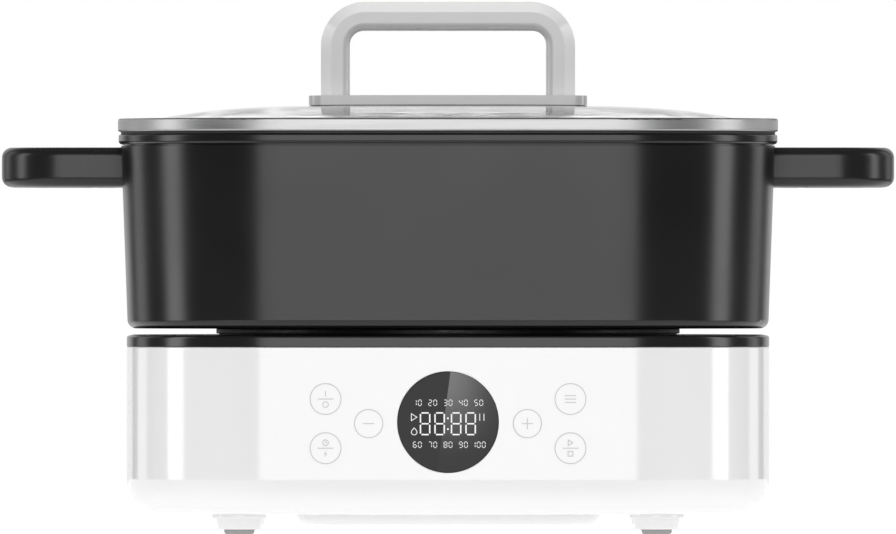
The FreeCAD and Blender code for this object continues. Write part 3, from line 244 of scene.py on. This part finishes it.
def shade(colour, share):
    """The colour made lighter or darker by a share of itself."""
    return tuple(min(1.0, part * share) for part in colour)


def tint(tree, shader, noise, colour, spread):
    """Gives the shader a colour that noise makes lighter and darker by a share."""
    tone = mixed(tree, noise, shade(colour, 1 - spread), shade(colour, 1 + spread))
    tree.links.new(tone, shader.inputs["Base Color"])


def dull(tree, shader, noise, roughness, spread):
    """Gives the shader a roughness that noise raises and lowers by a share."""
    uneven = between(tree, noise, roughness * (1 - spread), roughness * (1 + spread))
    tree.links.new(uneven, shader.inputs["Roughness"])


def raise_bumps(tree, shader, noise, depth, strength):
    """Bumps from noise, depth in metres."""
    bump = tree.nodes.new("ShaderNodeBump")
    bump.inputs["Strength"].default_value = strength
    bump.inputs["Distance"].default_value = depth
    tree.links.new(noise, bump.inputs["Height"])
    tree.links.new(bump.outputs["Normal"], shader.inputs["Normal"])


def moulded(name, colour, roughness, spread=0.04, grains=900.0, depth=0.01 * mm, strength=0.2, coat=0.0):
    """Moulded plastic, rubber or paint: faint cloudy colour, uneven gloss and a fine grain."""
    made, tree, shader = new_surface(name)
    cloud = grain(tree, evenly(cloud_grains))
    tint(tree, shader, cloud, colour, spread)
    dull(tree, shader, cloud, roughness, plastic_gloss_spread)
    raise_bumps(tree, shader, grain(tree, evenly(grains)), depth, strength)
    shader.inputs["Coat Weight"].default_value = coat
    shader.inputs["Coat Roughness"].default_value = coat_roughness
    return made


def metal(name, colour, roughness, streaks=evenly(900.0), spread=0.08, depth=0.004 * mm, strength=0.3,
          anisotropic=0.0):
    """Bare metal: streaks is how many marks fit in a metre along each axis."""
    made, tree, shader = new_surface(name)
    marks = grain(tree, streaks, detail=6.0)
    tint(tree, shader, marks, colour, spread)
    dull(tree, shader, marks, roughness, metal_gloss_spread)
    raise_bumps(tree, shader, marks, depth, strength)
    shader.inputs["Metallic"].default_value = 1.0
    shader.inputs["Anisotropic"].default_value = anisotropic
    return made


def clear_glass(name, darker, lighter, smear_roughness):
    """Tempered glass with the faintest smears in its gloss."""
    made, tree, shader = new_surface(name)
    smears = grain(tree, evenly(glass_grains))
    tree.links.new(mixed(tree, smears, darker, lighter), shader.inputs["Base Color"])
    tree.links.new(between(tree, smears, 0.0, smear_roughness), shader.inputs["Roughness"])
    shader.inputs["IOR"].default_value = glass_ior
    shader.inputs["Transmission Weight"].default_value = 1.0
    return made


def smoked_window_with_painted_reflection(name, dark, reflection_grey):
    """The glossy window: dark, with a lighter painted reflection right of a slanting line that fades right
    and down.
    """
    made, tree, shader = new_surface(name)
    place = tree.nodes.new("ShaderNodeTexCoord")
    axes = tree.nodes.new("ShaderNodeSeparateXYZ")
    tree.links.new(place.outputs["Object"], axes.inputs["Vector"])

    def fade(x_share, z_share, start, end, low, high):
        """A value that runs from low to high along a direction on the front."""
        along_x = calculated(tree, "MULTIPLY", axes.outputs["X"], x_share)
        along = calculated(tree, "MULTIPLY_ADD", axes.outputs["Z"], z_share, along_x)
        return ramp(tree, along, start, end, low, high, kind="SMOOTHSTEP")

    # The lighter part is a painted reflection of a soft box, mixed into the window's base colour
    run = Vector(painted_reflection_top) - Vector(painted_reflection_bottom)
    across = Vector((run.y, -run.x)).normalized()
    edge = across.dot(Vector(painted_reflection_top) + Vector((window_x, window_z)))
    inside = fade(across.x, across.y, edge - painted_reflection_blur, edge + painted_reflection_blur, 0.0, 1.0)
    to_right = fade(1.0, 0.0, window_x, window_x + painted_reflection_fade_width, 1.0, painted_reflection_share_right)
    downward = fade(0.0, 1.0, window_z + painted_reflection_fade_low, window_z + painted_reflection_fade_high, painted_reflection_share_low, 1.0)
    painted_reflection_amount = calculated(tree, "MULTIPLY", inside, calculated(tree, "MULTIPLY", to_right, downward))
    tree.links.new(mixed(tree, painted_reflection_amount, dark, reflection_grey), shader.inputs["Base Color"])
    smears = grain(tree, evenly(window_grains))
    tree.links.new(between(tree, smears, *window_roughness), shader.inputs["Roughness"])
    shader.inputs["Specular IOR Level"].default_value = window_specular
    return made


def ink(name, colour, glow):
    """Printed ink or a lit mark, slightly uneven."""
    made, tree, shader = new_surface(name)
    patchy = grain(tree, evenly(ink_grains))
    tone = mixed(tree, patchy, *(shade(colour, share) for share in ink_shades))
    tree.links.new(tone, shader.inputs["Base Color"])
    tree.links.new(tone, shader.inputs["Emission Color"])
    tree.links.new(between(tree, patchy, *ink_roughness), shader.inputs["Roughness"])
    shader.inputs["Emission Strength"].default_value = glow
    return made


looks = {
    "clear_glass": clear_glass(
        "hot_pot_clear_glass", (0.78, 0.785, 0.785), (0.80, 0.805, 0.805), smear_roughness=0.02,
    ),
    "brushed_steel": metal(
        "hot_pot_brushed_steel", grey(0.52), 0.4, (14.0, 14.0, 7000.0), spread=0.04, depth=0.001 * mm,
        strength=0.15, anisotropic=0.3,
    ),
    "dark_silicone": moulded("hot_pot_dark_silicone", grey(0.02), 0.55),
    "handle_plastic": moulded(
        "hot_pot_handle_plastic", grey(0.68), 0.14, spread=0.015, depth=0.004 * mm, strength=0.08, coat=0.5,
    ),
    "screw_steel": metal("hot_pot_screw_steel", grey(0.62), 0.32),
    "dark_coating": moulded(
        "hot_pot_dark_coating", grey(0.006), 0.24, spread=0.2, grains=1600.0, depth=0.012 * mm,
        strength=0.25,
    ),
    "black_plastic": moulded(
        "hot_pot_black_plastic", grey(0.008), 0.28, spread=0.15, grains=1300.0, strength=0.25,
    ),
    "plain_steel": metal("hot_pot_plain_steel", grey(0.58), 0.38),
    "cast_aluminium": metal("hot_pot_cast_aluminium", grey(0.13), 0.5, evenly(500.0), depth=0.01 * mm),
    "element_steel": metal("hot_pot_element_steel", (0.36, 0.35, 0.34), 0.45, spread=0.15),
    "white_housing": moulded(
        "hot_pot_white_housing", grey(0.88), 0.16, spread=0.01, depth=0.004 * mm, strength=0.06, coat=0.8,
    ),
    "black_top": moulded("hot_pot_black_top", grey(0.008), 0.2, spread=0.12, strength=0.15),
    # The window's second grey is the colour of its painted reflection
    "window_black": smoked_window_with_painted_reflection("hot_pot_window_black", grey(0.012), grey(0.17)),
    "module_grey": moulded("hot_pot_module_grey", (0.42, 0.42, 0.43), 0.5),
    "circuit_green": moulded("hot_pot_circuit_green", (0.02, 0.13, 0.05), 0.35, spread=0.2),
    "lead_grey": moulded("hot_pot_lead_grey", (0.3, 0.3, 0.31), 0.5),
    "transformer_iron": metal("hot_pot_transformer_iron", (0.3, 0.29, 0.28), 0.5, (60.0, 1800.0, 60.0)),
    "relay_blue": moulded("hot_pot_relay_blue", (0.03, 0.1, 0.34), 0.4),
    "capacitor_yellow": moulded("hot_pot_capacitor_yellow", (0.72, 0.5, 0.06), 0.45),
    "pin_brass": metal("hot_pot_pin_brass", (0.76, 0.6, 0.33), 0.25),
    "foot_rubber": moulded("hot_pot_foot_rubber", grey(0.34), 0.65, spread=0.08, strength=0.5),
}
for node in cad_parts.values():
    slot_name = node.data.materials[0].name
    node.data.materials.clear()
    node.data.materials.append(looks[slot_name])

key_ink = ink("hot_pot_key_ink", grey(0.55), glow=0.0)
lit_white = ink("hot_pot_lit_white", grey(0.80), glow=0.25)


def stroke(shape, points, width, closed=False):
    """A raised line of an even width on the front, through points given as x and z."""
    places = [Vector(point) for point in points]
    last = len(places) - 1
    sections = []
    for index, place in enumerate(places):
        before = places[index - 1] if closed or index > 0 else None
        after = places[(index + 1) % len(places)] if closed or index < last else None
        arriving = (place - before).normalized() if before else (after - place).normalized()
        leaving = (after - place).normalized() if after else arriving
        turn = (arriving + leaving).normalized()
        side = Vector((-turn.y, turn.x)) * width / 2 / max(least_turn_cosine, turn.dot(leaving))
        left = place + side
        right = place - side
        inner = front_y + print_sink
        outer = front_y - print_thickness
        corners = ((left.x, inner, left.y), (left.x, outer, left.y),
                   (right.x, outer, right.y), (right.x, inner, right.y))
        sections.append([shape.verts.new(corner) for corner in corners])

    following = sections[1:] + sections[:1] if closed else sections[1:]
    for here, there in zip(sections, following):
        for corner in range(4):
            other = (corner + 1) % 4
            shape.faces.new((here[corner], there[corner], there[other], here[other]))
    if not closed:
        shape.faces.new(sections[0])
        shape.faces.new(sections[-1])


def level_line(shape, x, z, length, width):
    """A level stroke, centred on x and z."""
    stroke(shape, [(x - length / 2, z), (x + length / 2, z)], width)


def upright_line(shape, x, z, length, width):
    """An upright stroke, centred on x and z."""
    stroke(shape, [(x, z - length / 2), (x, z + length / 2)], width)


def ring(shape, x, z, radius, width, count):
    """A closed circle of count short strokes."""
    turns = [2 * math.pi * step / count for step in range(count)]
    points = [(x + radius * math.cos(turn), z + radius * math.sin(turn)) for turn in turns]
    stroke(shape, points, width, closed=True)


def key_ring(shape, x, z, radius):
    ring(shape, x, z, radius, key_line, key_ring_steps)


def small_ring(shape, x, z):
    ring(shape, x, z, small_sign / 2, key_line, small_ring_steps)


def play_sign(shape, x, z, size, width):
    """A triangle that points right."""
    half = size / 2
    reach = half * play_narrowing
    stroke(shape, [(x - reach, z + half), (x + reach, z), (x - reach, z - half)], width, closed=True)


def drop_sign(shape, x, z, size, width):
    """A water drop: a point at the top and a round belly."""
    belly_radius = size * drop_radius
    belly_z = z - size * drop_lowering
    start = math.radians(drop_start_degrees)
    end = math.radians(drop_end_degrees)
    turns = [start + (end - start) * step / drop_steps for step in range(drop_steps + 1)]
    belly = [(x + belly_radius * math.cos(turn), belly_z + belly_radius * math.sin(turn)) for turn in turns]
    stroke(shape, [(x, z + size / 2), *belly], width, closed=True)


def pause_sign(shape, x, z, size, width):
    """Two upright bars."""
    for side in (-1, 1):
        upright_line(shape, x + side * size * pause_spread, z, size, width)


# The bars that are lit for each figure: a on top, b to f clockwise round it, g across the middle
lit_bars = {
    "0": "abcdef", "1": "bc", "2": "abged", "3": "abgcd", "4": "fgbc",
    "5": "afgcd", "6": "afgedc", "7": "abc", "8": "abcdefg", "9": "abcdfg",
}


def bar_digit(shape, figure, x, z, width, height, line):
    """One figure of seven bars, centred on x and z."""
    reach = width / 2
    rise = height / 2
    gap = line * bar_gap_share
    bars = {
        "a": ((-reach + gap, rise), (reach - gap, rise)),
        "b": ((reach, rise - gap), (reach, gap)),
        "c": ((reach, -gap), (reach, -rise + gap)),
        "d": ((-reach + gap, -rise), (reach - gap, -rise)),
        "e": ((-reach, -gap), (-reach, -rise + gap)),
        "f": ((-reach, rise - gap), (-reach, gap)),
        "g": ((-reach + gap, 0.0), (reach - gap, 0.0)),
    }
    for bar in lit_bars[figure]:
        stroke(shape, [(x + along, z + up) for along, up in bars[bar]], line)


def small_number(shape, figures, middle_x, z):
    """A number of small bar digits, centred on middle_x."""
    step = small_number_width + small_number_gap
    first = middle_x - step * (len(figures) - 1) / 2
    for index, figure in enumerate(figures):
        x = first + index * step
        bar_digit(shape, figure, x, z, small_number_width, small_number_height, small_number_line)


def number_row(shape, row, z):
    """Small numbers spread evenly over the window's width."""
    step = 2 * number_row_reach / (len(row) - 1)
    for index, figures in enumerate(row):
        small_number(shape, figures, window_x - number_row_reach + index * step, z)


def finished_marks(name, shape, material):
    """Turns drawn strokes into a piece that rides on the base."""
    bmesh.ops.recalc_face_normals(shape, faces=shape.faces)
    mesh = bpy.data.meshes.new(name)
    shape.to_mesh(mesh)
    shape.free()
    mesh.materials.append(material)
    piece = bpy.data.objects.new(name, mesh)
    bpy.context.scene.collection.objects.link(piece)
    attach(piece, "base")
    return piece


def display_marks():
    """Four digits and a colon, two rows of small numbers and three signs."""
    shape = bmesh.new()
    digits_z = window_z + digit_middle
    for place in digit_places:
        bar_digit(shape, "8", window_x + place, digits_z, digit_width, digit_height, digit_line)
    for side in (-1, 1):
        level_line(shape, window_x + colon_place, digits_z + side * colon_rise, colon_dot, colon_dot)
    number_row(shape, upper_numbers, window_z + upper_numbers_z)
    number_row(shape, lower_numbers, window_z + lower_numbers_z)

    left = window_x - side_sign_place
    right = window_x + side_sign_place
    play_sign(shape, left, window_z + upper_sign_z, side_sign_size, side_sign_line)
    drop_sign(shape, left, window_z + lower_sign_z, side_sign_size, side_sign_line)
    pause_sign(shape, right, window_z + upper_sign_z, side_sign_size, side_sign_line)
    return finished_marks("display_marks", shape, lit_white)


def power_key(shape, x, z):
    """A line above a ring."""
    upright_line(shape, x, z + small_sign_rise, small_sign, key_line)
    small_ring(shape, x, z - small_sign_rise)


def time_key(shape, x, z):
    """A clock above a flash."""
    clock_z = z + small_sign_rise
    small_ring(shape, x, clock_z)
    stroke(shape, [(x, clock_z + minute_hand), (x, clock_z), (x + hour_hand, clock_z)], clock_hand_line)
    flash_z = z - small_sign_rise
    flash = [(x + along * small_sign, flash_z + up * small_sign) for along, up in flash_corners]
    stroke(shape, flash, flash_line)


def menu_key(shape, x, z):
    """Three level lines."""
    for row in (-1, 0, 1):
        level_line(shape, x, z + row * menu_line_step, wide_sign, key_line)


def start_key(shape, x, z):
    """A triangle above a square."""
    play_sign(shape, x, z + small_sign_rise, small_sign, key_line)
    half = small_square / 2
    middle = z - small_sign_rise
    corners = [(x - half, middle - half), (x + half, middle - half), (x + half, middle + half),
               (x - half, middle + half)]
    stroke(shape, corners, key_line, closed=True)


def key_marks():
    """Six printed rings with a plain sign in each; three of them have a line across the middle."""
    shape = bmesh.new()
    outer_keys = (
        (-1, 1, power_key, True),
        (-1, -1, time_key, True),
        (1, 1, menu_key, False),
        (1, -1, start_key, True),
    )
    for side, up, sign, divided in outer_keys:
        x = side * outer_key_x
        z = key_middle_z + up * outer_key_rise
        key_ring(shape, x, z, outer_key_radius)
        sign(shape, x, z)
        if divided:
            level_line(shape, x, z, key_divider, key_line)

    for x in (-inner_key_x, inner_key_x):
        key_ring(shape, x, key_middle_z, inner_key_radius)
        level_line(shape, x, key_middle_z, wide_sign, key_line)
    plus_arm = (wide_sign - key_line) / 2
    for side in (-1, 1):
        middle = key_middle_z + side * (key_line + plus_arm) / 2
        upright_line(shape, inner_key_x, middle, plus_arm, key_line)
    return finished_marks("key_marks", shape, key_ink)


def floor_part(name, corners, faces, material, mirrored):
    """A flat part of the floor; mirrored says whether gloss on the object shows it."""
    mesh = bpy.data.meshes.new(name)
    mesh.from_pydata(corners, [], faces)
    mesh.materials.append(material)
    piece = bpy.data.objects.new(name, mesh)
    piece.visible_glossy = mirrored
    bpy.context.scene.collection.objects.link(piece)
    return piece


def level_square(half):
    """The four corners of a level square round the origin."""
    return [(-half, -half, 0.0), (half, -half, 0.0), (half, half, 0.0), (-half, half, 0.0)]


def pale_floor():
    """A near part under the object and a far part round it, in one plane."""
    made, tree, shader = new_surface("pale_floor")
    cloud = grain(tree, evenly(floor_grains))
    tone = mixed(tree, cloud, *(grey(level) for level in floor_greys))
    tree.links.new(tone, shader.inputs["Base Color"])
    tree.links.new(between(tree, cloud, *floor_roughness), shader.inputs["Roughness"])
    shader.inputs["Specular IOR Level"].default_value = 0.0
    plug(tree, grey(1.0), shader.inputs["Emission Color"])
    shader.inputs["Emission Strength"].default_value = floor_glow
    near = level_square(near_floor_half)
    far = level_square(far_floor_half)
    strips = [(side, (side + 1) % 4, (side + 1) % 4 + 4, side + 4) for side in range(4)]
    floor_part("near_floor", near, [(0, 1, 2, 3)], made, mirrored=True)
    floor_part("far_floor", far + near, strips, made, mirrored=False)


def soft_box(name, degrees, distance, width, brightness, middle_z=box_middle_z, height=box_height,
             aim_z=box_middle_z, mirrored=True):
    """A soft box that faces the object, in degrees from the front and positive to the right."""
    turn = math.radians(degrees)
    place = Vector((distance * math.sin(turn), -distance * math.cos(turn), middle_z))
    shine = bpy.data.lights.new(name, "AREA")
    shine.shape = "RECTANGLE"
    shine.size = width
    shine.size_y = height
    shine.energy = brightness * math.pi * width * height
    lamp = bpy.data.objects.new(name, shine)
    lamp.location = place
    lamp.rotation_euler = (Vector((0.0, 0.0, aim_z)) - place).to_track_quat("-Z", "Y").to_euler()
    lamp.visible_camera = False
    lamp.visible_glossy = mirrored
    bpy.context.scene.collection.objects.link(lamp)
    return lamp


def surroundings():
    """White where the camera looks past or through the object, dimmer in gloss, and a general fill."""
    world = bpy.data.worlds.new("studio")
    bpy.context.scene.world = world
    world.use_nodes = True
    tree = world.node_tree
    path = tree.nodes.new("ShaderNodeLightPath")
    sky = tree.nodes["Background"]
    plug(tree, grey(1.0), sky.inputs["Color"])
    level = sky_fill
    for ray, strength in (
        ("Is Glossy Ray", sky_in_gloss),
        ("Is Transmission Ray", white_sky),
        ("Is Camera Ray", white_sky),
    ):
        choose = tree.nodes.new("ShaderNodeMix")
        choose.data_type = "FLOAT"
        plug(tree, path.outputs[ray], choose.inputs["Factor"])
        plug(tree, level, choose.inputs["A"])
        plug(tree, strength, choose.inputs["B"])
        level = choose.outputs["Result"]
    plug(tree, level, sky.inputs["Strength"])


def studio():
    """Floor, soft boxes and surroundings; the top box lights the object but isn't mirrored in its gloss."""
    pale_floor()
    soft_box("front_light", degrees=0.0, distance=3.0, width=1.75, brightness=2.45)
    for side, name in ((-1, "left"), (1, "right")):
        beside = side_box_degrees * side
        behind = side_rear_box_degrees * side
        soft_box(name + "_light", beside, side_box_distance, side_box_width, brightness=3.4)
        soft_box(name + "_rear_light", behind, side_box_distance, side_box_width, brightness=1.0)
    soft_box(
        "top_light", degrees=0.0, distance=0.2, width=1.6, brightness=7.0, middle_z=2.6, height=1.6,
        aim_z=0.0, mirrored=False,
    )
    soft_box("rear_light", degrees=180.0, distance=2.7, width=3.8, brightness=0.75)
    surroundings()


def photo_camera():
    """A camera that stands in for the photo's: its picture is photo_width wide at focus_y."""
    view = bpy.data.cameras.new("photo_camera")
    view.sensor_width = sensor_width
    view.lens = lens
    view.clip_start = 0.1
    view.clip_end = 100.0
    eye = bpy.data.objects.new("photo_camera", view)
    eye.location = (0.0, focus_y - photo_width * lens / sensor_width, camera_height)
    eye.rotation_euler = (math.radians(90.0), 0.0, 0.0)
    bpy.context.scene.collection.objects.link(eye)
    bpy.context.scene.camera = eye


display_marks()
key_marks()
studio()
photo_camera()
bpy.context.scene.view_settings.view_transform = "Standard"
bpy.context.scene.view_settings.look = "None"
